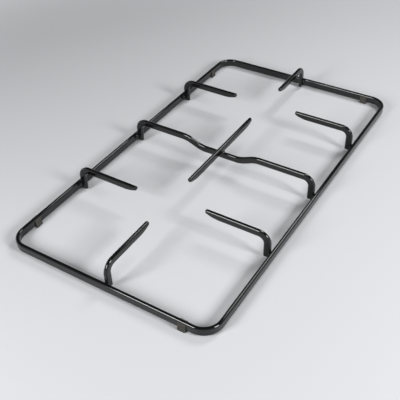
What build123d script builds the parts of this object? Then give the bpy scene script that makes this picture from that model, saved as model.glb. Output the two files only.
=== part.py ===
"""Hob pan support: an enamelled steel frame with welded fingers, standing on four slotted feet.

Millimetres, +Z up, the floor at z = 0, +Y to the rear of the hob, the middle of the outline at the origin.
"""
import os
from math import cos, radians, sin, tan

from build123d import *

# Outer frame: flat bar on edge, bent to a ring.
frame_length = 470.0        # outside, front to rear
frame_width = 259.2         # outside, left to right
frame_corner = 22.0         # outside radius of each corner
frame_bar_thick = 4.5
frame_bar_height = 10.5
frame_edge_round = 2.0      # rounding of the bar's long edges

# Feet: slotted blocks pushed up onto the frame bar.
foot_sole = 1.5             # below the bar
foot_wall = 2.0             # on each side of the bar, over the height of the sole
foot_top_wall = 0.7         # the walls lean in to this at their top
foot_along = 9.0            # along the bar
foot_height = 10.5
foot_edge_round = 0.8       # upright corners
foot_sole_chamfer = 0.4
side_foot_end = 43.5        # middle of a foot on the left bar, from that end of the frame
end_foot_side = 33.6        # middle of a foot on an end bar, from the frame's right side

# Fingers, crossbar and centre bar: a smaller flat bar on edge.
bar_thick = 4.5
bar_height = 8.5
bar_edge_round = 1.9
top_height = 35.4           # level of every pan-bearing edge above the floor
leg_bend = 6.5              # inside radius where a leg turns into its arm
leg_lift = 1.0              # leg end above the bottom of the frame bar
leg_end_chamfer = 0.7

# Tips: the underside curves up to a thinner, round end.
tip_height = 4.4
tip_taper = 18.0
tip_end_round = 1.2

# Plan, from the middle of the frame.
burner_offset = 114.0       # burner centres in front of and behind the crossbar
spine_x = 2.4               # line of the centre bar and of the two end fingers
crossbar_y = 1.3            # the crossbar stands a little to the rear
side_reach = 43.1           # burner centre to a side finger's tip
end_reach = 39.8            # burner centre to an end finger's tip
spine_reach = 40.6          # burner centre to a tip of the centre bar
right_front_shift = 6.3     # the right front finger stands this much nearer the crossbar

# Dip of the crossbar under the centre bar.
dip_slope_x = 37.2          # middle of each slope from the middle of the crossbar
dip_angle = 22.5
dip_bend = 33.0             # radius on the bar's middle line

# Weld beads beside each leg.
bead_size = 2.6             # reach along the frame bar and along the leg's side
bead_hollow = 0.36          # how far the bead's middle stands out of the corner, as a share of its size
bead_height = 6.0
bead_clear = 0.2            # above the frame bar's lower rounding
bead_end_slope = 0.9        # chamfer where a bead starts and stops
spine_bead_length = 4.0     # beads where the centre bar lies on the crossbar

# Worked-out values.
frame_x = foot_wall / 2     # the left feet stand past the left bar, so the frame sits right of the origin
bar_bottom = foot_sole
inner_x = frame_width / 2 - frame_bar_thick
inner_y = frame_length / 2 - frame_bar_thick
arm_z = top_height - bar_height / 2
leg_bottom = bar_bottom + leg_lift
mid_bend = leg_bend + bar_height / 2


def bar_section(height):
    """Outline of a bar standing on edge: thickness across, height up, long edges rounded."""
    return RectangleRounded(bar_thick, height, min(bar_edge_round, height / 2 - 0.05))


def at_xz(x, z):
    """A point of the plane in which a bar is bent: along the bar, and up."""
    return Vector(x, 0, z)


def section_at(point, direction, height=bar_height):
    """The bar's outline at a point, square to a direction lying in the plane of its bends."""
    plane = Plane(origin=point, x_dir=(0, 1, 0), z_dir=direction)
    return plane * bar_section(height)


def dress_leg_ends(solid, count):
    """Chamfer the cut edges of the lowest faces, one for each leg."""
    ends = solid.faces().sort_by(Axis.Z)[:count]
    return chamfer(ends.edges(), leg_end_chamfer)


def tapered_tip(x):
    """The last length of an arm that runs towards +X and ends at x: level on top, curving up below, round at its end.

    The bar loses height with the square of the way along the tip, so that its underside starts level.
    """
    sections = []
    for way in (0, 0.5, 1):
        height = bar_height - (bar_height - tip_height) * way**2
        middle = at_xz(x - tip_taper * (1 - way), top_height - height / 2)
        sections.append(section_at(middle, (1, 0, 0), height))
    tip = loft(sections)
    end = tip.faces().sort_by(Axis.X)[-1]
    return fillet(end.edges(), tip_end_round)


def bead_profile(plane):
    """Section of a weld bead in the corner of two faces at right angles, hollow towards the open side."""
    with BuildSketch(plane) as outline:
        with BuildLine():
            Line((0, 0), (bead_size, 0))
            ThreePointArc((bead_size, 0), (bead_size * bead_hollow, bead_size * bead_hollow), (0, bead_size))
            Line((0, bead_size), (0, 0))
        make_face()
    return outline.sketch


def leg_bead(side):
    """A bead between the frame's inner face, at x = 0, and one side of a leg, run on under the leg's round edge."""
    low = bar_bottom + frame_edge_round + bead_clear
    plane = Plane(origin=(0, side * bar_thick / 2, low), x_dir=(1, 0, 0), z_dir=(0, 0, side))
    run = extrude(bead_profile(plane), amount=side * bead_height)
    curved = run.edges().filter_by(GeomType.CIRCLE)
    run = chamfer(curved, bead_end_slope)
    root = Box(bar_edge_round, bar_thick / 2, bead_height, align=(Align.MIN, Align.MIN, Align.MIN))
    if side < 0:
        root = mirror(root, about=Plane.XZ)
    return run + Pos(0, 0, low) * root


def finger(leg_to_tip):
    """A finger whose leg stands against the plane x = 0 and whose arm runs towards +X to leg_to_tip."""
    leg_x = bar_height / 2
    straight_end = leg_to_tip - tip_taper
    with BuildLine(Plane.XZ) as line:
        Line((leg_x, leg_bottom), (leg_x, arm_z - mid_bend))
        RadiusArc((leg_x, arm_z - mid_bend), (leg_x + mid_bend, arm_z), mid_bend)
        Line((leg_x + mid_bend, arm_z), (straight_end, arm_z))
    rod = sweep(section_at(at_xz(leg_x, leg_bottom), (0, 0, 1)), path=line.wires()[0])
    rod = dress_leg_ends(rod, 1)
    return rod + tapered_tip(leg_to_tip) + leg_bead(1) + leg_bead(-1)


def crossbar_path():
    """Middle line of the crossbar: leg, arm, slope, dip, slope, arm, leg."""
    leg_x = inner_x - bar_height / 2
    low_z = arm_z - bar_height
    turn = radians(dip_angle)
    half_run = bar_height / 2 / tan(turn) + dip_bend * tan(turn / 2)
    rise = dip_bend * (1 - cos(turn))
    ahead = dip_bend * sin(turn)
    slope_start = -dip_slope_x - half_run
    slope_end = -dip_slope_x + half_run
    with BuildLine(Plane.XZ) as line:
        Line((-leg_x, leg_bottom), (-leg_x, arm_z - mid_bend))
        RadiusArc((-leg_x, arm_z - mid_bend), (-leg_x + mid_bend, arm_z), mid_bend)
        Line((-leg_x + mid_bend, arm_z), (slope_start, arm_z))
        RadiusArc((slope_start, arm_z), (slope_start + ahead, arm_z - rise), dip_bend)
        Line((slope_start + ahead, arm_z - rise), (slope_end - ahead, low_z + rise))
        RadiusArc((slope_end - ahead, low_z + rise), (slope_end, low_z), -dip_bend)
        Line((slope_end, low_z), (0, low_z))
        mirror(line.line, about=Plane.YZ)
    return line.wires()[0]


def make_crossbar():
    """The crossbar, with a leg at each end and beads beside each leg."""
    start = at_xz(-inner_x + bar_height / 2, leg_bottom)
    rod = sweep(section_at(start, (0, 0, 1)), path=crossbar_path())
    rod = dress_leg_ends(rod, 2)
    left_beads = Pos(-inner_x, 0, 0) * (leg_bead(1) + leg_bead(-1))
    return rod + left_beads + mirror(left_beads, about=Plane.YZ)


def make_centre_bar(crossbar):
    """A straight bar along Y with a tapered tip at each end, beaded on both sides to the dip of a crossbar at y = 0."""
    half = burner_offset - spine_reach
    middle_half = half - tip_taper
    middle = extrude(section_at(at_xz(-middle_half, arm_z), (1, 0, 0)), amount=2 * middle_half)
    tip = tapered_tip(half)
    bar = Rot(0, 0, 90) * (middle + tip + mirror(tip, about=Plane.YZ))
    bar = Pos(spine_x, -crossbar_y, 0) * bar
    dip_top = top_height - bar_height
    for side in (1, -1):
        corner = (spine_x + side * bar_thick / 2, -side * spine_bead_length / 2, dip_top)
        plane = Plane(origin=corner, x_dir=(side, 0, 0), z_dir=(0, -side, 0))
        run = extrude(bead_profile(plane), amount=-spine_bead_length)
        root = Box(bar_edge_round, spine_bead_length, 2 * bar_edge_round)
        root = Pos(corner[0] - side * bar_edge_round / 2, 0, dip_top) * root
        drop = Box(bead_size, spine_bead_length, bar_edge_round, align=(Align.CENTER, Align.CENTER, Align.MAX))
        drop = Pos(corner[0] + side * bead_size / 2, 0, dip_top) * drop
        bar = bar + (run + root + drop - crossbar)
    return bar


def make_frame():
    """The ring: a flat bar on edge with rounded long edges and four round corners."""
    outside = RectangleRounded(frame_width, frame_length, frame_corner)
    inside = RectangleRounded(2 * inner_x, 2 * inner_y, frame_corner - frame_bar_thick)
    ring = extrude(outside - inside, amount=frame_bar_height)
    long_edges = ring.edges().group_by(Axis.Z)[0] + ring.edges().group_by(Axis.Z)[-1]
    return Pos(0, 0, bar_bottom) * fillet(long_edges, frame_edge_round)


def make_foot():
    """A block along X, its walls leaning in, with a slot that fits the underside and both faces of the frame bar."""
    half = frame_bar_thick / 2 + foot_wall
    half_top = frame_bar_thick / 2 + foot_top_wall
    across = Plane(origin=(-foot_along / 2, 0, 0), x_dir=(0, 1, 0), z_dir=(1, 0, 0))
    right_side = [(0, 0), (half, 0), (half, foot_sole), (half_top, foot_height), (0, foot_height)]
    with BuildSketch(across) as outline:
        with BuildLine():
            Polyline(right_side, close=True)
        make_face()
        mirror(about=Plane.YZ)
    block = extrude(outline.sketch, amount=foot_along)
    ends = block.faces().filter_by(Axis.X).edges() - block.faces().filter_by(Axis.Z).edges()
    block = fillet(ends, foot_edge_round)
    block = chamfer(block.faces().sort_by(Axis.Z)[0].edges(), foot_sole_chamfer)
    middle = Plane(origin=(-foot_along, 0, bar_bottom + frame_bar_height / 2), x_dir=(0, 1, 0), z_dir=(1, 0, 0))
    slot = middle * RectangleRounded(frame_bar_thick, frame_bar_height, frame_edge_round)
    return block - extrude(slot, amount=2 * foot_along)


left_finger = finger(inner_x + spine_x - side_reach)
right_finger = Rot(0, 0, 180) * finger(inner_x - spine_x - side_reach)
end_finger = finger(inner_y - burner_offset - end_reach)
crossbar = make_crossbar()
foot = make_foot()
side_bar_x = -frame_width / 2 + frame_bar_thick / 2
end_bar_y = frame_length / 2 - frame_bar_thick / 2
side_foot_y = frame_length / 2 - side_foot_end
end_foot_x = frame_width / 2 - end_foot_side

nodes = {
    "outer_frame": make_frame(),
    "crossbar": Pos(0, crossbar_y, 0) * crossbar,
    "centre_bar": Pos(0, crossbar_y, 0) * make_centre_bar(crossbar),
    "left_front_finger": Pos(-inner_x, -burner_offset, 0) * left_finger,
    "left_rear_finger": Pos(-inner_x, burner_offset, 0) * left_finger,
    "right_front_finger": Pos(inner_x, -burner_offset + right_front_shift, 0) * right_finger,
    "right_rear_finger": Pos(inner_x, burner_offset, 0) * right_finger,
    "front_finger": Pos(spine_x, -inner_y, 0) * Rot(0, 0, 90) * end_finger,
    "rear_finger": Pos(spine_x, inner_y, 0) * Rot(0, 0, -90) * end_finger,
    "left_front_foot": Pos(side_bar_x, -side_foot_y, 0) * Rot(0, 0, 90) * foot,
    "left_rear_foot": Pos(side_bar_x, side_foot_y, 0) * Rot(0, 0, 90) * foot,
    "front_right_foot": Pos(end_foot_x, -end_bar_y, 0) * foot,
    "rear_right_foot": Pos(end_foot_x, end_bar_y, 0) * foot,
}

os.makedirs("parts", exist_ok=True)
for name, solid in nodes.items():
    export_step(Pos(frame_x, 0, 0) * solid, f"parts/{name}.step")
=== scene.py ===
"""Hob pan support: smooth enamelled bars, their weld beads and the rubber feet, on a plain studio stage."""

import math

import bpy
import numpy as np
from bpy.props import FloatProperty, FloatVectorProperty, IntProperty, PointerProperty
from bpy.types import Operator, Panel, PropertyGroup, Scene
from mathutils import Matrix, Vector


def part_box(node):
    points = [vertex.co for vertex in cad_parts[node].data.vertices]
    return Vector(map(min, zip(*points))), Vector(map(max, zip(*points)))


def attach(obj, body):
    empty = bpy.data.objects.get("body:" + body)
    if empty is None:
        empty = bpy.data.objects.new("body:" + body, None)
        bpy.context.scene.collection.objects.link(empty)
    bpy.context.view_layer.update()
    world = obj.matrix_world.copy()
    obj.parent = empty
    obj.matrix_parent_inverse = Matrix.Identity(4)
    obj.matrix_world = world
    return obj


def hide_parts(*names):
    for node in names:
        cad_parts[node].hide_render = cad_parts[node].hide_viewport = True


bl_info = {
    "name": "Hob Pan Support",
    "version": (1, 0, 0),
    "blender": (4, 5, 0),
    "location": "3D View > Sidebar > Pan Support",
    "description": "Builds an enamelled pan support with welded fingers and slotted feet",
    "category": "Add Mesh",
}

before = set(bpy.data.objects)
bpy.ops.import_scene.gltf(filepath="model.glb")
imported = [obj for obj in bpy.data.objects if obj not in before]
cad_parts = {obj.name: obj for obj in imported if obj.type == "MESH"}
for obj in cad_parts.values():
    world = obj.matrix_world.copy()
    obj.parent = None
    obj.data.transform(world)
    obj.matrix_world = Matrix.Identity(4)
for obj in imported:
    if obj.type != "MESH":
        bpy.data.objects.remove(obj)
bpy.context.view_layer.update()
RING_LOW, RING_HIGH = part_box("outer_frame")
RING_SIZE = RING_HIGH - RING_LOW
RING_MIDDLE = (RING_LOW + RING_HIGH) / 2
CROSSBAR_LOW, CROSSBAR_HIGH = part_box("crossbar")

FINGERS = (
    "left_front_finger",
    "left_rear_finger",
    "right_front_finger",
    "right_rear_finger",
    "front_finger",
    "rear_finger",
)
FEET = ("left_front_foot", "left_rear_foot", "front_right_foot", "rear_right_foot")

# How fine the surfaces are: steps in metres, turns in radians, and numbers of steps.
RING_STEP, RING_TURN = 0.002, 0.05
BAR_STEP, BAR_TURN = 0.0015, 0.06
FOOT_STEP = 0.0008
END_STEPS = 12          # over a rounded end
EDGE_STEPS = 10         # round an edge of a bar
FOOT_EDGE_STEPS = 8     # round an edge of a foot
BEAD_ROWS, BEAD_STEPS = 40, 14      # along and across a bead
FLAT_PLACES = (0.06, 0.25, 0.5, 0.75, 0.94)     # where a bar's flat face has points, as shares of its width

# Small margins where surfaces close up or meet.
END_CLEAR = 1.001       # where the even steps begin beyond a rounded end, in roundings
LEAST_HALF = 0.00002    # half the thickness that is left at a rounded end, in metres
FULL_ROUND = 0.97       # the most that a bar's edge rounding takes of its half thickness
BEAD_FULL = 0.9999      # how far towards its two ends a bead is drawn, so that it ends in a sliver
BEAD_SUNK = 0.000006    # how deep a bead's thin edges lie inside the bars, in metres
BEAD_ROOT = 1.1         # how deep a bead's hidden back lies, in roundings of the bar's edge

# The stage, in metres, and the width that the camera's lens is given for, in millimetres.
FLOOR_REACH, FLOOR_LEVEL = 4.0, -0.00005
CAMERA_NEAR = 0.01
PICTURE_WIDTH = 36.0

# Soft boxes: name, the setting that holds the power, size, place, and the point that each one faces.
LAMPS = (
    ("front_soft_box", "front_power", (0.38, 0.45), (-0.31, -1.0, 0.56), (-0.31, 0.0, 0.0)),
    ("rear_soft_box", "rear_power", (0.34, 0.4), (0.18, 0.56, 0.8), (0.18, 0.0, 0.0)),
    ("side_soft_box", "side_power", (0.35, 0.35), (1.1, -0.2, 0.65), (0.0, 0.0, 0.0)),
)


def length(name, description, default):
    """A length property, in metres."""
    return FloatProperty(
        name=name,
        description=description,
        default=default,
        min=0.0,
        precision=5,
        subtype="DISTANCE",
        unit="LENGTH",
    )


def angle(name, description, degrees):
    """An angle property."""
    return FloatProperty(
        name=name, description=description, default=math.radians(degrees), subtype="ANGLE", unit="ROTATION"
    )


def share(name, description, default):
    """A property from nought to one."""
    return FloatProperty(
        name=name, description=description, default=default, min=0.0, max=1.0, subtype="FACTOR"
    )


def power(name, description, default):
    """The power of a lamp, in watts."""
    return FloatProperty(name=name, description=description, default=default, min=0.0, unit="POWER")


def colour(name, description, default):
    """A linear colour property."""
    return FloatVectorProperty(
        name=name, description=description, default=default, size=3, min=0.0, max=1.0, subtype="COLOR"
    )


class RingSizes(PropertyGroup):
    """Sizes of the outer frame, a flat bar on edge bent to a ring."""

    length: length("Length", "Outside, front to rear", RING_SIZE.y)
    width: length("Width", "Outside, left to right", RING_SIZE.x)
    bar_height: length("Bar height", "Height of the frame bar", RING_SIZE.z)
    bar_thick: length("Bar thickness", "Thickness of the frame bar", 0.0045)
    corner: length("Corner radius", "Outside radius of each corner", 0.022)
    edge_round: length("Edge rounding", "Rounding of the bar's long edges", 0.002)


class BarSizes(PropertyGroup):
    """Sizes of the smaller bar of the fingers, the crossbar and the centre bar."""

    thick: length("Thickness", "Thickness of the bar", 0.0045)
    height: length("Height", "Height of the bar on edge", 0.0085)
    edge_round: length("Edge rounding", "Rounding of the bar's long edges", 0.0019)
    bend: length("Leg bend", "Inside radius where a leg turns into its arm", 0.0065)
    leg_end_round: length("Leg end rounding", "Rounding of a leg's cut end", 0.0007)
    tip_height: length("Tip height", "Height that is left at a tip", 0.0044)
    tip_taper: length("Tip taper", "Length over which the underside curves up to a tip", 0.018)
    tip_round: length("Tip rounding", "Rounding of a tip's end", 0.0019)
    dip_slope: length("Dip slope", "Middle of each slope of the dip, from the frame's middle", 0.0372)
    dip_bend: length("Dip bend", "Radius of the dip's bends on the bar's middle line", 0.033)
    dip_angle: angle("Dip angle", "Angle of the slopes of the crossbar's dip", 22.5)


class BeadSizes(PropertyGroup):
    """Sizes of the weld beads."""

    size: length("Size", "Reach of a bead on each of the two faces it joins", 0.0026)
    height: length("Leg bead height", "Height of a bead beside a leg", 0.006)
    low: length("Leg bead bottom", "Bottom of a leg's beads above the bottom of the frame bar", 0.0022)
    spine_length: length("Crossing bead length", "Length of a bead where the centre bar crosses", 0.004)
    ripple: share("Ripple", "Depth of a bead's ripples as a share of its size", 0.045)
    ripples: IntProperty(name="Ripples", description="Number of ripples along a bead", default=3, min=1)


class FootSizes(PropertyGroup):
    """Sizes of the slotted feet."""

    sole: length("Sole", "Height up to which the outside is upright", 0.0015)
    top_wall: length("Top wall", "Thickness of each wall at its top, where it has leant in", 0.0007)
    lip_share: share("Lip rounding", "Rounding of a wall's top edges as a share of its top wall", 1 / 3)
    sole_round: length("Sole rounding", "Rounding of the foot's lower edges", 0.0005)
    edge_round: length("Edge rounding", "Rounding of the foot's outer edges", 0.0008)
    end_draw: share("End draw", "How much of that rounding the outside draws in by at the two ends", 0.55)
    slot_clear: length("Slot clearance", "Room between slot and bar", 0.00004)


class EnamelLook(PropertyGroup):
    """Gloss black enamel."""

    colour: colour("Colour", "Colour of the enamel where it lies thick", (0.004, 0.004, 0.0045))
    thin_colour: colour("Thin colour", "Colour where it thins out along an edge", (0.010, 0.009, 0.008))
    roughness: share("Roughness", "Middle roughness of the fired surface", 0.08)
    roughness_range: share("Roughness range", "How much the roughness changes over the surface", 0.06)
    cloud: length("Cloud size", "Spacing of the slow changes in gloss and thickness", 0.033)
    wave: length("Wave size", "Spacing of the broad waves in the surface", 0.011)
    peel: length("Peel size", "Spacing of the fine ripples in the surface", 0.0014)
    peel_share: share("Peel share", "Height of the fine ripples as a share of the waves", 0.08)
    wave_depth: length("Wave depth", "Height of the broad waves", 0.00003)
    wave_strength: share("Wave strength", "How much the waves and ripples bend reflections", 0.12)


class RubberLook(PropertyGroup):
    """Matt moulded rubber."""

    colour: colour("Colour", "Colour of the rubber", (0.04, 0.038, 0.033))
    bloom_colour: colour("Bloom colour", "Colour of the pale bloom on old rubber", (0.075, 0.071, 0.063))
    bloom: length("Bloom size", "Spacing of the clouds of bloom", 0.004)
    bloom_start: share("Bloom start", "Level of cloud and grain at which the bloom begins", 0.2)
    bloom_end: share("Bloom end", "Level of cloud and grain from which the bloom is whole", 0.8)
    roughness: share("Roughness", "Least roughness of the moulded surface", 0.72)
    roughness_range: share("Roughness range", "How much the grain adds to the roughness", 0.2)
    sheen: share("Specular level", "How much the moulded surface shines", 0.2)
    grain: length("Grain size", "Spacing of the moulded grain", 0.0005)
    grain_depth: length("Grain depth", "Height of the moulded grain", 0.00008)
    grain_strength: share("Grain strength", "How much the grain shows in the shading", 0.6)


class StageLook(PropertyGroup):
    """Floor, lamps and camera."""

    floor_colour: colour("Floor colour", "Colour of the plain floor", (0.6, 0.61, 0.63))
    floor_roughness: share("Floor roughness", "Roughness of the plain floor", 0.85)
    sweep_start: length("Sweep start", "Distance from the middle where the backdrop begins", 0.4)
    sweep_end: length("Sweep end", "Distance from the middle where the floor is all backdrop", 0.85)
    wall_low: angle("Wall low", "Height angle up to which the backdrop is as pale as the floor", 17.0)
    wall_high: angle("Wall high", "Height angle from which the room above is dark", 27.0)
    ambient: share("Ambient", "Level of the light from all round", 0.035)
    front_power: power("Front lamp", "Power of the front soft box", 10.6)
    rear_power: power("Rear lamp", "Power of the rear soft box", 4.1)
    side_power: power("Side lamp", "Power of the soft box on the right", 13.5)
    camera_place: FloatVectorProperty(
        name="Camera place",
        description="Where the camera stands",
        default=(0.33678, -0.56354, 0.50391),
        subtype="TRANSLATION",
        unit="LENGTH",
    )
    camera_turn: FloatVectorProperty(
        name="Camera turn",
        description="How the camera is turned",
        default=(math.radians(49.8504), math.radians(1.5529), math.radians(31.7721)),
        subtype="EULER",
        unit="ROTATION",
    )
    camera_lens: FloatProperty(
        name="Camera lens",
        description="Focal length for a picture 36 mm wide",
        default=60.01,
        unit="CAMERA",
    )


class PanSupportSettings(PropertyGroup):
    """Everything that a user may change."""

    ring: PointerProperty(type=RingSizes)
    bar: PointerProperty(type=BarSizes)
    bead: PointerProperty(type=BeadSizes)
    foot: PointerProperty(type=FootSizes)
    enamel: PointerProperty(type=EnamelLook)
    rubber: PointerProperty(type=RubberLook)
    stage: PointerProperty(type=StageLook)


class Wire:
    """An output socket that can stand in an expression: each operator adds one Math node."""

    def __init__(self, finish, socket):
        self.finish = finish
        self.socket = socket

    def maths(self, operation, first, second):
        """The result of one Math node on two wires or numbers."""
        return self.finish.node("ShaderNodeMath", {"operation": operation}, {0: first, 1: second})

    def __add__(self, other):
        return self.maths("ADD", self, other)

    def __radd__(self, other):
        return self.maths("ADD", other, self)

    def __sub__(self, other):
        return self.maths("SUBTRACT", self, other)

    def __rsub__(self, other):
        return self.maths("SUBTRACT", other, self)

    def __mul__(self, other):
        return self.maths("MULTIPLY", self, other)

    def __rmul__(self, other):
        return self.maths("MULTIPLY", other, self)


class Finish:
    """A material or world in the making: its node tree, and the one method that adds nodes to it."""

    def __init__(self, holder):
        holder.use_nodes = True
        self.holder = holder
        self.tree = holder.node_tree
        self.tree.nodes.clear()

    def node(self, kind, settings=None, inputs=None, output=0):
        """Adds a node, sets it up, fills its sockets with values or links, and gives one of its outputs."""
        node = self.tree.nodes.new(kind)
        for key, value in (settings or {}).items():
            setattr(node, key, value)
        for key, value in (inputs or {}).items():
            if isinstance(value, Wire):
                self.tree.links.new(value.socket, node.inputs[key])
            else:
                node.inputs[key].default_value = value
        return Wire(self, node.outputs[output]) if len(node.outputs) else None

    def noise(self, place, spacing, detail=2.0):
        """Soft random values from nought to one that change over about the given spacing."""
        inputs = {"Vector": place, "Scale": 1.0 / spacing, "Detail": detail}
        return self.node("ShaderNodeTexNoise", {"noise_dimensions": "3D"}, inputs)

    def mix(self, factor, first, second):
        """A colour between two colours."""
        settings = {"data_type": "RGBA", "blend_type": "MIX"}
        factor_and_colours = {0: factor, 6: (*first, 1.0), 7: (*second, 1.0)}
        return self.node("ShaderNodeMix", settings, factor_and_colours, output=2)

    def rise(self, value, start, end):
        """Nought up to the start, one from the end on, and a smooth step between them."""
        settings = {"interpolation_type": "SMOOTHSTEP"}
        inputs = {"Value": value, "From Min": start, "From Max": end}
        return self.node("ShaderNodeMapRange", settings, inputs)

    def bump(self, height, depth, strength):
        """A normal bent by a height from nought to one that stands for the given depth."""
        inputs = {"Strength": strength, "Distance": depth, "Height": height}
        return self.node("ShaderNodeBump", {}, inputs, output="Normal")

    def seen(self):
        """One for rays from the camera, gloss or glass, and nought for those that only carry light."""
        rays = ("Is Camera Ray", "Is Glossy Ray", "Is Transmission Ray")
        camera, glossy, glass = (self.node("ShaderNodeLightPath", output=ray) for ray in rays)
        return camera + glossy + glass

    def principled(self, **inputs):
        """A Principled shader, its sockets named with underscores for spaces."""
        sockets = {name.replace("_", " "): value for name, value in inputs.items()}
        return self.node("ShaderNodeBsdfPrincipled", {}, sockets)

    def surface(self, shader):
        """Ends the tree with a surface shader and returns the finished material."""
        self.node("ShaderNodeOutputMaterial", {}, {"Surface": shader})
        return self.holder


def enamel(look):
    """Fired black enamel: broad waves and fine peel bend its reflections, and it thins out along edges."""
    name = "black_enamel"
    if name in bpy.data.materials:
        return bpy.data.materials[name]
    finish = Finish(bpy.data.materials.new(name))
    place = finish.node("ShaderNodeTexCoord", output="Object")
    edge = finish.node("ShaderNodeAttribute", {"attribute_name": "edge"}, output="Fac")
    wave = finish.noise(place, look.wave)
    peel = finish.noise(place, look.peel)
    cloud = finish.noise(place, look.cloud, detail=4.0)
    base = finish.mix(edge * cloud, look.colour, look.thin_colour)
    rough = look.roughness - look.roughness_range / 2 + look.roughness_range * cloud
    bump = finish.bump(wave + look.peel_share * peel, look.wave_depth, look.wave_strength)
    return finish.surface(finish.principled(Base_Color=base, Roughness=rough, Normal=bump))


def rubber(look):
    """Matt rubber: fine moulded grain under a cloudy, paler bloom."""
    name = "matt_rubber"
    if name in bpy.data.materials:
        return bpy.data.materials[name]
    finish = Finish(bpy.data.materials.new(name))
    place = finish.node("ShaderNodeTexCoord", output="Object")
    cloud = finish.noise(place, look.bloom, detail=4.0)
    grain = finish.noise(place, look.grain, detail=3.0)
    bloom = finish.rise(0.5 * cloud + 0.5 * grain, look.bloom_start, look.bloom_end)
    base = finish.mix(bloom, look.colour, look.bloom_colour)
    rough = look.roughness + look.roughness_range * grain
    bump = finish.bump(grain, look.grain_depth, look.grain_strength)
    shader = finish.principled(Base_Color=base, Roughness=rough, Specular_IOR_Level=look.sheen, Normal=bump)
    return finish.surface(shader)


def bent_line(start, heading, runs, along):
    """Points and headings of a line of straight and curved runs, at the given lengths along it.

    Each run is a length and the angle that it turns through. A part of a run turns by its share of that
    angle and spans the chord of its own arc: the chord points along the heading half way, and is as long
    as the part times sin(half turn) / half turn. The chords of whole runs, added up, give where each begins.
    """
    lengths, turns = np.array(runs, float).T
    heads = heading + np.cumsum(turns) - turns
    ends = np.cumsum(lengths)

    def chord(run, part):
        turn = turns[run] * part / lengths[run]
        middle = heads[run] + turn / 2
        reach = part * np.sinc(turn / (2 * np.pi))
        return np.stack([reach * np.cos(middle), reach * np.sin(middle)], -1), heads[run] + turn

    whole, _ = chord(np.arange(len(lengths)), lengths)
    corners = np.asarray(start) + np.cumsum(whole, axis=0) - whole
    run = np.clip(np.searchsorted(ends, along), 0, len(lengths) - 1)
    move, headings = chord(run, along - (ends - lengths)[run])
    return corners[run] + move, headings


def stations(runs, step, turn_step=1.0, start_round=0.0, end_round=0.0):
    """Lengths along a line at which it gets a ring: even steps in each run, closer where it turns.

    Within a rounded end the steps follow the sine of an even angle, so that rings close up towards the end.
    """
    ends = np.cumsum([run for run, _ in runs])
    spans = [
        np.linspace(end - run, end, 2 + math.ceil(run / step + abs(turn) / turn_step))
        for (run, turn), end in zip(runs, ends)
    ]
    along = np.unique(np.round(np.concatenate(spans), 9))
    total = along[-1]
    closing = 1.0 - np.sin(np.linspace(0.0, np.pi / 2, END_STEPS + 1))
    if start_round:
        along = np.concatenate([start_round * closing[::-1], along[along > END_CLEAR * start_round]])
    if end_round:
        along = along[along < total - END_CLEAR * end_round]
        along = np.concatenate([along, total - end_round * closing])
    return along


def round_off(distance, radius):
    """How far a rounded end or edge draws in at a distance: the radius less a quarter circle's height."""
    inside = np.clip(1.0 - distance / radius, 0.0, 1.0)
    return radius * (1.0 - np.sqrt(1.0 - inside**2))


def bar_outline(half_left, half_across, radius):
    """Rounded rectangles, one row for each ring: left, across, and how much of an edge each point is.

    A point is its corner's sign times the flat half side, plus the radius times the cosine or sine of its
    angle. Between corners a few points slide from one sign to the next, so that flat faces stay flat in the
    shading.
    """
    signs = np.array([[1, 1], [-1, 1], [-1, -1], [1, -1]], float)
    turn = np.concatenate([np.linspace(0.0, 1.0, EDGE_STEPS + 1), np.ones(len(FLAT_PLACES))])
    slid = np.concatenate([np.zeros(EDGE_STEPS + 1), FLAT_PLACES])
    angle = (np.arange(4)[:, None] + turn[None]) * np.pi / 2
    following = np.roll(signs, -1, axis=0)
    corner = signs[:, None] + (following - signs)[:, None] * slid[None, :, None]
    corner = corner.reshape(-1, 2)
    angle = angle.ravel()
    half_left, half_across, radius = half_left[:, None], half_across[:, None], radius[:, None]
    left = corner[:, 0] * (half_left - radius) + radius * np.cos(angle)
    across = corner[:, 1] * (half_across - radius) + radius * np.sin(angle)
    edge = np.abs(np.sin(2 * angle)) * np.ones_like(left)
    return left, across, edge


def carried(points, headings, left, across):
    """Outlines carried along a line in a plane: along its first axis, across the plane, along its second."""
    first = points[:, :1] - left * np.sin(headings)[:, None]
    second = points[:, 1:] + left * np.cos(headings)[:, None]
    return np.stack([first, across, second], -1)


class Shell:
    """A closed surface as arrays: points, quads, end caps, and how much of an edge each point is."""

    def __init__(self, grid, edge, ring=False):
        """Joins outlines on a grid, each to the next. A ring closes on itself, and others get end caps."""
        rows, around = grid.shape[:2]
        row = np.arange(rows if ring else rows - 1)[:, None]
        column = np.arange(around)[None]
        beside = (column + 1) % around
        here, after = row * around, (row + 1) % rows * around
        corners = (here + column, here + beside, after + beside, after + column)
        self.points = grid.reshape(-1, 3)
        self.edge = np.broadcast_to(edge, grid.shape[:2]).ravel()
        self.quads = np.stack(corners, -1).reshape(-1, 4)
        last = (rows - 1) * around
        self.caps = [] if ring else [np.arange(around)[::-1], last + np.arange(around)]

    def placed(self, origin, axes):
        """Moves the shell to an origin, its three directions along the given axes, with its faces outwards.

        The sum over the faces of middle point times vector area is three times the volume. Where it comes out
        negative, the faces are turned round.
        """
        self.points = np.asarray(origin) + self.points @ np.asarray(axes, float)
        a, b, c, d = (self.points[self.quads[:, i]] for i in range(4))
        three_volumes = np.sum((a + b + c + d) / 4 * np.cross(c - a, d - b) / 2)
        if three_volumes < 0:
            self.quads = self.quads[:, ::-1]
            self.caps = [cap[::-1] for cap in self.caps]
        return self


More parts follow.
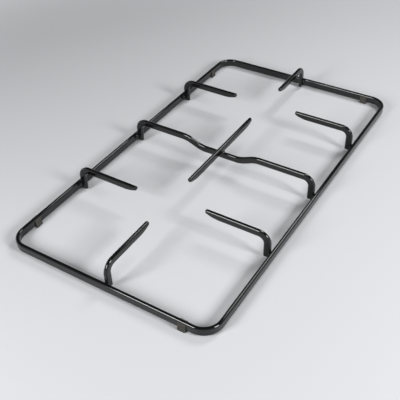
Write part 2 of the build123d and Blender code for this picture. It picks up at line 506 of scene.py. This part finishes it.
def add_piece(name, shells, material, replaced):
    """Puts shells into one mesh object that stands for a CAD node."""
    points = np.concatenate([shell.points for shell in shells]).astype(np.float32)
    edges = np.concatenate([shell.edge for shell in shells]).astype(np.float32)
    starts = np.cumsum([0] + [len(shell.points) for shell in shells])
    quads = np.concatenate([shell.quads + start for shell, start in zip(shells, starts)])
    caps = [cap + start for shell, start in zip(shells, starts) for cap in shell.caps]
    corners = np.concatenate([quads.ravel(), *caps]).astype(np.int32)
    sizes = np.array([4] * len(quads) + [len(cap) for cap in caps])
    mesh = bpy.data.meshes.new(name)
    mesh.vertices.add(len(points))
    mesh.vertices.foreach_set("co", points.ravel())
    mesh.loops.add(len(corners))
    mesh.loops.foreach_set("vertex_index", corners)
    mesh.polygons.add(len(sizes))
    mesh.polygons.foreach_set("loop_start", (np.cumsum(sizes) - sizes).astype(np.int32))
    mesh.polygons.foreach_set("use_smooth", np.ones(len(sizes), bool))
    mesh.attributes.new("edge", "FLOAT", "POINT").data.foreach_set("value", edges)
    mesh.update(calc_edges=True)
    if mesh.validate():
        raise RuntimeError(f"the surface of {name} has faulty faces")
    mesh.materials.append(material)
    piece = bpy.data.objects.new(name, mesh)
    bpy.context.scene.collection.objects.link(piece)
    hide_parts(replaced)
    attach(piece, "root")
    return piece


def bar_shell(bar, start, heading, runs, tips):
    """The smaller bar along a bent line, with a tip or a cut leg at each end.

    Towards a tip the height falls from full to tip height with the square of (1 - distance / taper), while
    the top edge stays level. The end itself is drawn in as a quarter circle on all sides.
    """
    rounds = [bar.tip_round if tip else bar.leg_end_round for tip in tips]
    along = stations(runs, BAR_STEP, BAR_TURN, *rounds)
    total = along[-1]
    points, headings = bent_line(start, heading, runs, along)
    height = np.full(len(along), bar.height)
    draw = np.zeros(len(along))
    for distance, tip, radius in ((along, tips[0], rounds[0]), (total - along, tips[1], rounds[1])):
        if tip:
            rest = np.clip(1.0 - distance / bar.tip_taper, 0.0, 1.0)
            height = height - (bar.height - bar.tip_height) * rest**2
        draw = draw + round_off(distance, radius)
    lift = (bar.height - height) / 2
    half_height = np.maximum(height / 2 - draw, LEAST_HALF)
    half_thick = np.maximum(bar.thick / 2 - draw, LEAST_HALF)
    radius = np.minimum(bar.edge_round, FULL_ROUND * np.minimum(half_height, half_thick))
    left, across, edge = bar_outline(half_height, half_thick, radius)
    return Shell(carried(points, headings, left + lift[:, None], across), edge)


def bead_shell(bead, bar, run_length, over_bar=False):
    """A weld bead in the corner of a face and a bar: away from the bar, then along it, then up its side.

    With c and s the cubes of the cosine and sine of an angle from nought to a right angle, the open side lies
    c of the way out and s of the way up, which is hollow and meets both sides smoothly. With way from -1 to 1
    along it, the bead swells as the root of 1 - |way| cubed, less soft ripples. Where the face is the top of
    another bar, it falls away at that bar's rounded edges, and the bead reaches down to it. The bar's own
    edge is rounded too, and the bead fills the gap there. Its thin edges lie just inside the bars.
    """
    way = BEAD_FULL * np.cos(np.linspace(np.pi, 0.0, BEAD_ROWS + 1))[:, None]
    ripple = 0.5 - 0.5 * np.cos(np.pi * bead.ripples * (way + 1.0))
    swell = np.sqrt(1.0 - np.abs(way) ** 3) * (1.0 - bead.ripple * ripple)
    along = run_length * (1.0 + way) / 2
    from_side = bar.thick / 2 - np.abs(along - run_length / 2)
    drop = round_off(from_side, bar.edge_round) if over_bar else np.zeros_like(along)
    height = swell * (bead.size + drop)
    gap = round_off(height - drop, bar.edge_round)
    angle = np.linspace(0.0, np.pi / 2, BEAD_STEPS + 1)
    out, up = np.cos(angle) ** 3, np.sin(angle) ** 3
    first = swell * bead.size * out - (gap + BEAD_SUNK) * (1.0 - out)
    second = height * up - drop - BEAD_SUNK * (1.0 - up)
    root = np.full_like(along, -BEAD_ROOT * bar.edge_round)
    first = np.concatenate([root, first, root], axis=1)
    second = np.concatenate([-drop - BEAD_SUNK, second, height - drop], axis=1)
    grid = np.stack([first, np.broadcast_to(along, first.shape), second], -1)
    return Shell(grid, np.zeros(first.shape))


class FrameRing(Operator):
    """Builds the outer frame: the frame bar carried round a rectangle with four round corners."""

    bl_idname = "pan_support.frame_ring"
    bl_label = "Outer frame"

    def execute(self, context):
        settings = context.scene.pan_support
        ring = settings.ring
        radius = ring.corner - ring.bar_thick / 2
        side_x = ring.width - 2 * ring.corner
        side_y = ring.length - 2 * ring.corner
        quarter = (radius * math.pi / 2, math.pi / 2)
        runs = [(side_x, 0.0), quarter, (side_y, 0.0), quarter] * 2
        along = stations(runs, RING_STEP, RING_TURN)[:-1]
        start = (-side_x / 2, -ring.length / 2 + ring.bar_thick / 2)
        points, headings = bent_line(start, 0.0, runs, along)
        section = (ring.bar_thick / 2, ring.bar_height / 2, ring.edge_round)
        left, across, edge = bar_outline(*(np.full(len(along), value) for value in section))
        shell = Shell(carried(points, headings, left, across), edge, ring=True)
        shell.placed(RING_MIDDLE, ((1, 0, 0), (0, 0, 1), (0, 1, 0)))
        add_piece("ring_of_bar", [shell], enamel(settings.enamel), "outer_frame")
        return {"FINISHED"}


def leg_beads(bead, bar, origin, out, side):
    """The two beads beside a leg that meets the frame's inner face at the origin and leads along out."""
    shells = []
    for sign in (1, -1):
        corner = origin + sign * side * bar.thick / 2 + np.array([0.0, 0.0, RING_LOW.z + bead.low])
        shell = bead_shell(bead, bar, bead.height)
        shells.append(shell.placed(corner, (sign * side, (0, 0, 1), out)))
    return shells


class Fingers(Operator):
    """Builds the six fingers: leg, bend and arm with a tapered tip, and two weld beads beside each leg."""

    bl_idname = "pan_support.fingers"
    bl_label = "Fingers"

    def execute(self, context):
        settings = context.scene.pan_support
        bar = settings.bar
        middle_bend = bar.bend + bar.height / 2
        for node in FINGERS:
            low, high = (np.array(corner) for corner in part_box(node))
            axis = int(high[1] - low[1] > high[0] - low[0])
            sign = 1.0 if (low[axis] + high[axis]) / 2 < RING_MIDDLE[axis] else -1.0
            out, side = np.zeros(3), np.zeros(3)
            out[axis] = sign
            side[1 - axis] = 1.0
            origin = np.zeros(3)
            origin[axis] = low[axis] if sign > 0 else high[axis]
            origin[1 - axis] = (low[1 - axis] + high[1 - axis]) / 2
            leg = high[2] - bar.height / 2 - middle_bend - low[2]
            arm = high[axis] - low[axis] - bar.height / 2 - middle_bend
            runs = [(leg, 0.0), (middle_bend * math.pi / 2, -math.pi / 2), (arm, 0.0)]
            rod = bar_shell(bar, (bar.height / 2, low[2]), math.pi / 2, runs, (False, True))
            shells = [rod.placed(origin, (out, side, (0, 0, 1)))]
            shells += leg_beads(settings.bead, bar, origin, out, side)
            add_piece(f"{node}_bar", shells, enamel(settings.enamel), node)
        return {"FINISHED"}


class Crossbar(Operator):
    """Builds the crossbar: leg, arm, slope, dip, slope, arm and leg, with two weld beads beside each leg."""

    bl_idname = "pan_support.crossbar"
    bl_label = "Crossbar"

    def execute(self, context):
        settings = context.scene.pan_support
        bar = settings.bar
        low, high = np.array(CROSSBAR_LOW), np.array(CROSSBAR_HIGH)
        middle_bend = bar.bend + bar.height / 2
        half = (high[0] - low[0]) / 2
        turn = bar.dip_angle
        slope_run = bar.height / math.tan(turn) / 2 + bar.dip_bend * math.tan(turn / 2)
        slope = (bar.height - 2 * bar.dip_bend * (1 - math.cos(turn))) / math.sin(turn)
        leg = high[2] - bar.height / 2 - middle_bend - low[2]
        arm = half - bar.height / 2 - middle_bend - bar.dip_slope - slope_run
        half_floor = bar.dip_slope - slope_run
        runs = [
            (leg, 0.0),
            (middle_bend * math.pi / 2, -math.pi / 2),
            (arm, 0.0),
            (bar.dip_bend * turn, -turn),
            (slope, 0.0),
            (bar.dip_bend * turn, turn),
            (half_floor, 0.0),
        ]
        runs += runs[::-1]
        rod = bar_shell(bar, (bar.height / 2 - half, low[2]), math.pi / 2, runs, (False, False))
        middle = np.array([(low[0] + high[0]) / 2, (low[1] + high[1]) / 2, 0.0])
        side = np.array([0.0, 1.0, 0.0])
        shells = [rod.placed(middle, ((1, 0, 0), side, (0, 0, 1)))]
        for sign in (1.0, -1.0):
            out = np.array([sign, 0.0, 0.0])
            shells += leg_beads(settings.bead, bar, middle - half * out, out, side)
        add_piece("crossbar_bar", shells, enamel(settings.enamel), "crossbar")
        return {"FINISHED"}


class CentreBar(Operator):
    """Builds the centre bar: a straight bar with two tapered tips, and two beads where it crosses."""

    bl_idname = "pan_support.centre_bar"
    bl_label = "Centre bar"

    def execute(self, context):
        settings = context.scene.pan_support
        bar, bead = settings.bar, settings.bead
        low, high = (np.array(corner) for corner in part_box("centre_bar"))
        middle = (low + high) / 2
        half = (high[1] - low[1]) / 2
        crossing = (CROSSBAR_LOW.y + CROSSBAR_HIGH.y) / 2
        rod = bar_shell(bar, (-half, high[2] - bar.height / 2), 0.0, [(2 * half, 0.0)], (True, True))
        origin = np.array([middle[0], middle[1], 0.0])
        shells = [rod.placed(origin, ((0, 1, 0), (1, 0, 0), (0, 0, 1)))]
        for sign in (1.0, -1.0):
            side = middle[0] + sign * bar.thick / 2
            corner = (side, crossing - bead.spine_length / 2, high[2] - bar.height)
            shell = bead_shell(bead, bar, bead.spine_length, over_bar=True)
            shells.append(shell.placed(corner, ((sign, 0, 0), (0, 1, 0), (0, 0, 1))))
        add_piece("centre_bar_bar", shells, enamel(settings.enamel), "centre_bar")
        return {"FINISHED"}


def rounded_outline(corners, radii):
    """Points, outward normals and corner numbers of a polygon, run anticlockwise, with rounded corners.

    At each corner the heading turns by the angle between its two sides. The arc's centre lies a radius to the
    inner side of the point that stands radius * tan(half turn) before the corner, and the arc's points are a
    radius from it along the outward normal, or against it where the corner turns inwards.
    """
    corners, radii = np.asarray(corners, float), np.asarray(radii, float)
    into = corners - np.roll(corners, 1, axis=0)
    into /= np.linalg.norm(into, axis=1, keepdims=True)
    out = np.roll(into, -1, axis=0)
    turn = np.arctan2(into[:, 0] * out[:, 1] - into[:, 1] * out[:, 0], np.sum(into * out, axis=1))
    signed = radii * np.sign(turn)
    inner = np.stack([-into[:, 1], into[:, 0]], -1)
    centre = corners - into * (radii * np.tan(np.abs(turn) / 2))[:, None] + inner * signed[:, None]
    turned = turn[:, None] * np.linspace(0.0, 1.0, FOOT_EDGE_STEPS + 1)
    heading = np.arctan2(into[:, 1], into[:, 0])[:, None] + turned
    normal = np.stack([np.sin(heading), -np.cos(heading)], -1)
    points = centre[:, None] + normal * signed[:, None, None]
    corner = np.repeat(np.arange(len(corners)), FOOT_EDGE_STEPS + 1)
    return points.reshape(-1, 2), normal.reshape(-1, 2), corner


class Feet(Operator):
    """Builds the four feet: the outline of a slotted block, carried along the bar and rounded outside."""

    bl_idname = "pan_support.feet"
    bl_label = "Feet"

    def execute(self, context):
        settings = context.scene.pan_support
        foot, ring = settings.foot, settings.ring
        slot, base = ring.bar_thick / 2 + foot.slot_clear, RING_LOW.z - foot.slot_clear
        shoulder, lip = ring.bar_thick / 2 + foot.top_wall, foot.lip_share * foot.top_wall
        radii = [foot.sole_round, foot.edge_round, lip, lip, ring.edge_round]
        for node in FEET:
            low, high = (np.array(corner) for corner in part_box(node))
            on_side = low[0] < RING_LOW.x
            run, width = (high - low)[[1, 0] if on_side else [0, 1]]
            half, top = width / 2, high[2]
            outer = [(half, 0.0), (half, foot.sole), (shoulder, top)]
            right = outer + [(slot, top), (slot, base)]
            corners = right + [(-across, up) for across, up in right[::-1]]
            points, normals, corner = rounded_outline(corners, radii + radii[::-1])
            outside = (corner < len(outer)) | (corner >= len(corners) - len(outer))
            along = stations([(run, 0.0)], FOOT_STEP, start_round=foot.edge_round, end_round=foot.edge_round)
            draw = round_off(along, foot.edge_round) + round_off(run - along, foot.edge_round)
            section = points - (normals * outside[:, None]) * (foot.end_draw * draw)[:, None, None]
            place = np.broadcast_to((along - run / 2)[:, None, None], (*section.shape[:2], 1))
            grid = np.concatenate([place, section], axis=2)
            shell = Shell(grid, np.zeros(grid.shape[:2]))
            middle = (low + high) / 2
            ground = ((0, 1, 0), (1, 0, 0)) if on_side else ((1, 0, 0), (0, 1, 0))
            shell.placed((middle[0], middle[1], 0.0), (*ground, (0, 0, 1)))
            add_piece(f"{node}_block", [shell], rubber(settings.rubber), node)
        return {"FINISHED"}


def add_lamp(name, watts, size, place, target):
    """A rectangular soft box at a place, facing a target."""
    light = bpy.data.lights.new(name, "AREA")
    light.shape = "RECTANGLE"
    light.size, light.size_y = size
    light.energy = watts
    lamp = bpy.data.objects.new(name, light)
    bpy.context.scene.collection.objects.link(lamp)
    lamp.location = place
    direction = Vector(place) - Vector(target)
    lamp.rotation_euler = direction.to_track_quat("Z", "Y").to_euler()


def add_floor(look, pale):
    """A flat square floor whose colour turns into an even backdrop with the distance from its middle."""
    mesh = bpy.data.meshes.new("studio_floor")
    signs = ((-1, -1), (1, -1), (1, 1), (-1, 1))
    corners = [(x * FLOOR_REACH, y * FLOOR_REACH, FLOOR_LEVEL) for x, y in signs]
    mesh.from_pydata(corners, [], [(0, 1, 2, 3)])
    finish = Finish(bpy.data.materials.new("pale_floor"))
    place = finish.node("ShaderNodeTexCoord", output="Object")
    distance = finish.node("ShaderNodeVectorMath", {"operation": "LENGTH"}, {0: place}, output="Value")
    near = finish.principled(Base_Color=pale, Roughness=look.floor_roughness)
    far = finish.node("ShaderNodeEmission", {}, {"Color": pale, "Strength": 1.0})
    factor = finish.rise(distance, look.sweep_start, look.sweep_end) * finish.seen()
    shader = finish.node("ShaderNodeMixShader", {}, {0: factor, 1: near, 2: far})
    mesh.materials.append(finish.surface(shader))
    return bpy.data.objects.new("studio_floor", mesh)


def studio_world(look, pale):
    """A dim room, with a low pale wall all round that only the camera, gloss and glass see."""
    finish = Finish(bpy.data.worlds.new("studio_world"))
    direction = finish.node("ShaderNodeTexCoord", output="Object")
    height = finish.node("ShaderNodeSeparateXYZ", {}, {0: direction}, output="Z")
    wall = 1.0 - finish.rise(height, math.sin(look.wall_low), math.sin(look.wall_high))
    level = look.ambient + (1.0 - look.ambient) * wall * finish.seen()
    light = finish.node("ShaderNodeBackground", {}, {"Color": pale, "Strength": level})
    finish.node("ShaderNodeOutputWorld", {}, {"Surface": light})
    return finish.holder


class Stage(Operator):
    """Sets up the plain floor, three soft boxes, the light all round and the camera."""

    bl_idname = "pan_support.stage"
    bl_label = "Stage"

    def execute(self, context):
        scene, look = context.scene, context.scene.pan_support.stage
        pale = (*look.floor_colour, 1.0)
        floor = add_floor(look, pale)
        scene.collection.objects.link(floor)
        scene.world = studio_world(look, pale)
        for name, setting, size, place, target in LAMPS:
            add_lamp(name, getattr(look, setting), size, place, target)

        camera = bpy.data.cameras.new("camera")
        camera.sensor_width = PICTURE_WIDTH
        camera.lens = look.camera_lens
        camera.clip_start = CAMERA_NEAR
        camera.dof.use_dof = False
        eye = bpy.data.objects.new("camera", camera)
        scene.collection.objects.link(eye)
        eye.location = look.camera_place
        eye.rotation_euler = look.camera_turn
        scene.camera = eye
        scene.view_settings.view_transform = "Standard"
        return {"FINISHED"}


class PanSupportPanel(Panel):
    """Lists the pieces of the pan support and their sizes and colours."""

    bl_idname = "VIEW3D_PT_pan_support"
    bl_label = "Pan Support"
    bl_space_type = "VIEW_3D"
    bl_region_type = "UI"
    bl_category = "Pan Support"

    def draw(self, context):
        settings = context.scene.pan_support
        for operator in OPERATORS:
            self.layout.operator(operator.bl_idname)
        for group in PanSupportSettings.__annotations__:
            box = self.layout.box()
            box.label(text=group.capitalize())
            values = getattr(settings, group)
            for name in type(values).__annotations__:
                box.prop(values, name)


GROUPS = (RingSizes, BarSizes, BeadSizes, FootSizes, EnamelLook, RubberLook, StageLook, PanSupportSettings)
OPERATORS = (FrameRing, Crossbar, CentreBar, Fingers, Feet, Stage)


def register():
    for cls in (*GROUPS, *OPERATORS, PanSupportPanel):
        bpy.utils.register_class(cls)
    Scene.pan_support = PointerProperty(type=PanSupportSettings)


def unregister():
    del Scene.pan_support
    for cls in reversed((*GROUPS, *OPERATORS, PanSupportPanel)):
        bpy.utils.unregister_class(cls)


def main():
    """Registers the classes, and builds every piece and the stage."""
    register()
    bpy.ops.pan_support.frame_ring()
    bpy.ops.pan_support.crossbar()
    bpy.ops.pan_support.centre_bar()
    bpy.ops.pan_support.fingers()
    bpy.ops.pan_support.feet()
    bpy.ops.pan_support.stage()


if __name__ == "__main__":
    main()
